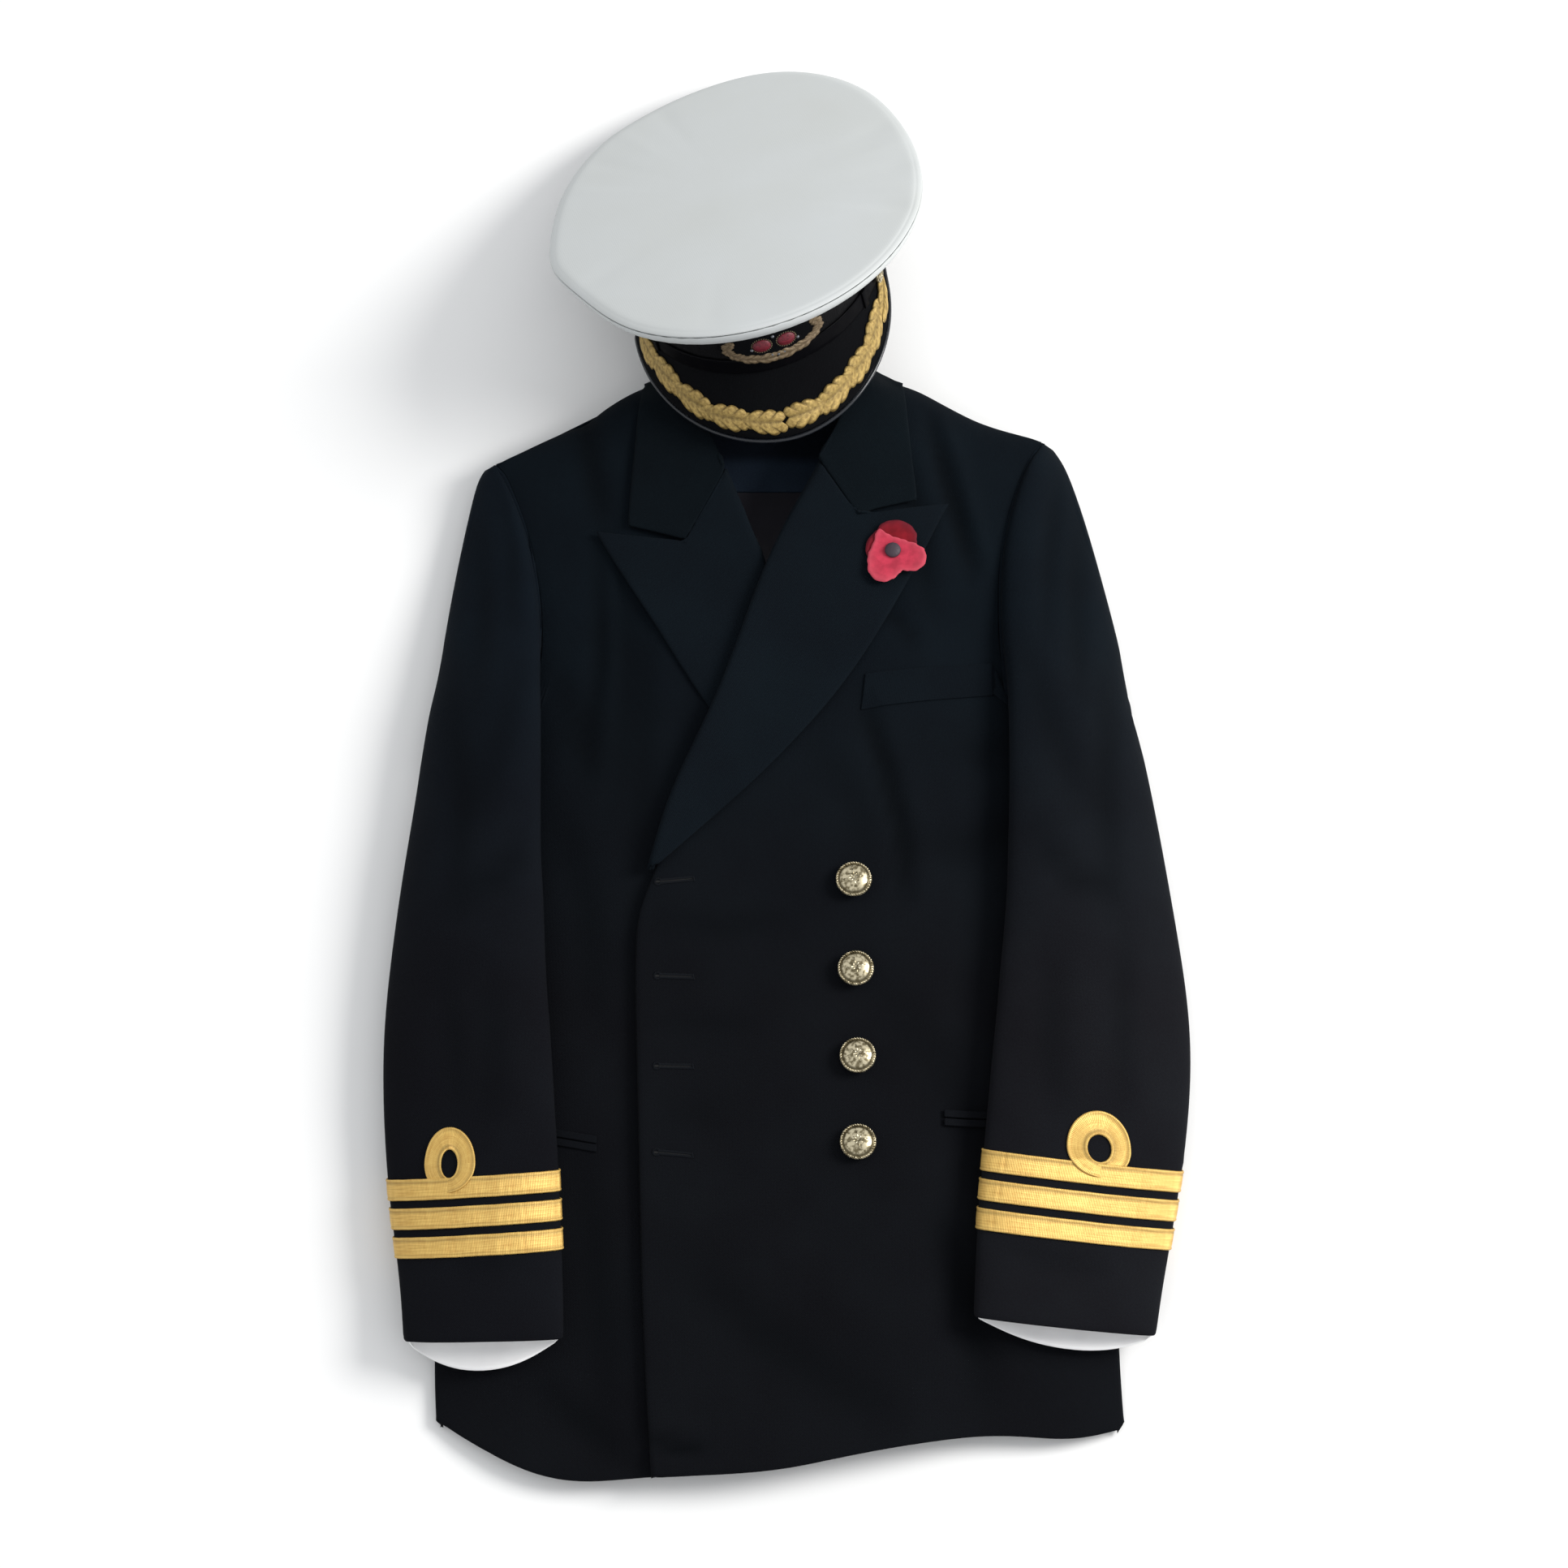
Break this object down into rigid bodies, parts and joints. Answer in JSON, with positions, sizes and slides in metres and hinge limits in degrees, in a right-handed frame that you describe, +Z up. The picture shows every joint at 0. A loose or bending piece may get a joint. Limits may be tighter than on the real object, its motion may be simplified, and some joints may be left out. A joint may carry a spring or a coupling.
{
  "type": "naval officer uniform",
  "caption": "Double-breasted dark jacket with peak lapels, cuff lace and gilt buttons, laid flat on its back, a white-topped peaked cap with gold leaf tilted over its collar.",
  "frame": {"origin": "on the surface that the jacket lies on, under the middle of the back panel", "axes": "+X towards the wearer's left, +Y from the hem towards the neck and the cap, +Z up from the surface"},
  "size_m": [0.5093, 0.9633, 0.1759],
  "materials": {
    "navy_cloth": "matt fine barathea weave",
    "neck_cloth": "matt",
    "back_satin": "soft satin",
    "white_satin": "satin",
    "gold_lace": "woven metal thread, soft glint",
    "gold_embroidery": "raised metal thread",
    "gilt": "polished pale gilt",
    "flower_cloth": "matt felted cloth",
    "flower_boss": "satin",
    "white_cover": "smooth woven",
    "mohair_band": "ribbed, matt",
    "peak_cloth": "matt cloth over board",
    "peak_binding": "satin",
    "patent_strap": "gloss",
    "sweatband": "satin"
  },
  "bodies": {
    "root": {"back": "navy_cloth", "back_lining": "back_satin", "neck_facing": "neck_cloth", "front_right": "navy_cloth", "front_left": "navy_cloth", "lapel_right": "navy_cloth", "lapel_left": "navy_cloth", "collar": "navy_cloth", "top_sleeve_right": "navy_cloth", "under_sleeve_right": "navy_cloth", "sleeve_lining_right": "white_satin", "lace_right_1": "gold_lace", "lace_right_2": "gold_lace", "lace_right_3": "gold_lace", "curl_right": "gold_lace", "top_sleeve_left": "navy_cloth", "under_sleeve_left": "navy_cloth", "sleeve_lining_left": "white_satin", "lace_left_1": "gold_lace", "lace_left_2": "gold_lace", "lace_left_3": "gold_lace", "curl_left": "gold_lace", "breast_welt": "navy_cloth", "hip_jet_upper_right": "navy_cloth", "hip_jet_lower_right": "navy_cloth", "hip_jet_upper_left": "navy_cloth", "hip_jet_lower_left": "navy_cloth", "button_1": "gilt", "button_2": "gilt", "button_3": "gilt", "button_4": "gilt", "flower_petals": "flower_cloth", "flower_centre": "flower_boss", "cap_band": "mohair_band", "cap_sweatband": "sweatband", "cap_cover_side": "white_cover", "cap_cover_top": "white_cover", "cap_peak": "peak_cloth", "peak_binding": "peak_binding", "peak_leaves_left": "gold_embroidery", "peak_leaves_right": "gold_embroidery", "chin_strap": "patent_strap", "strap_button_left": "gilt", "strap_button_right": "gilt", "cap_badge": "gold_embroidery"}
  },
  "joints": []
}
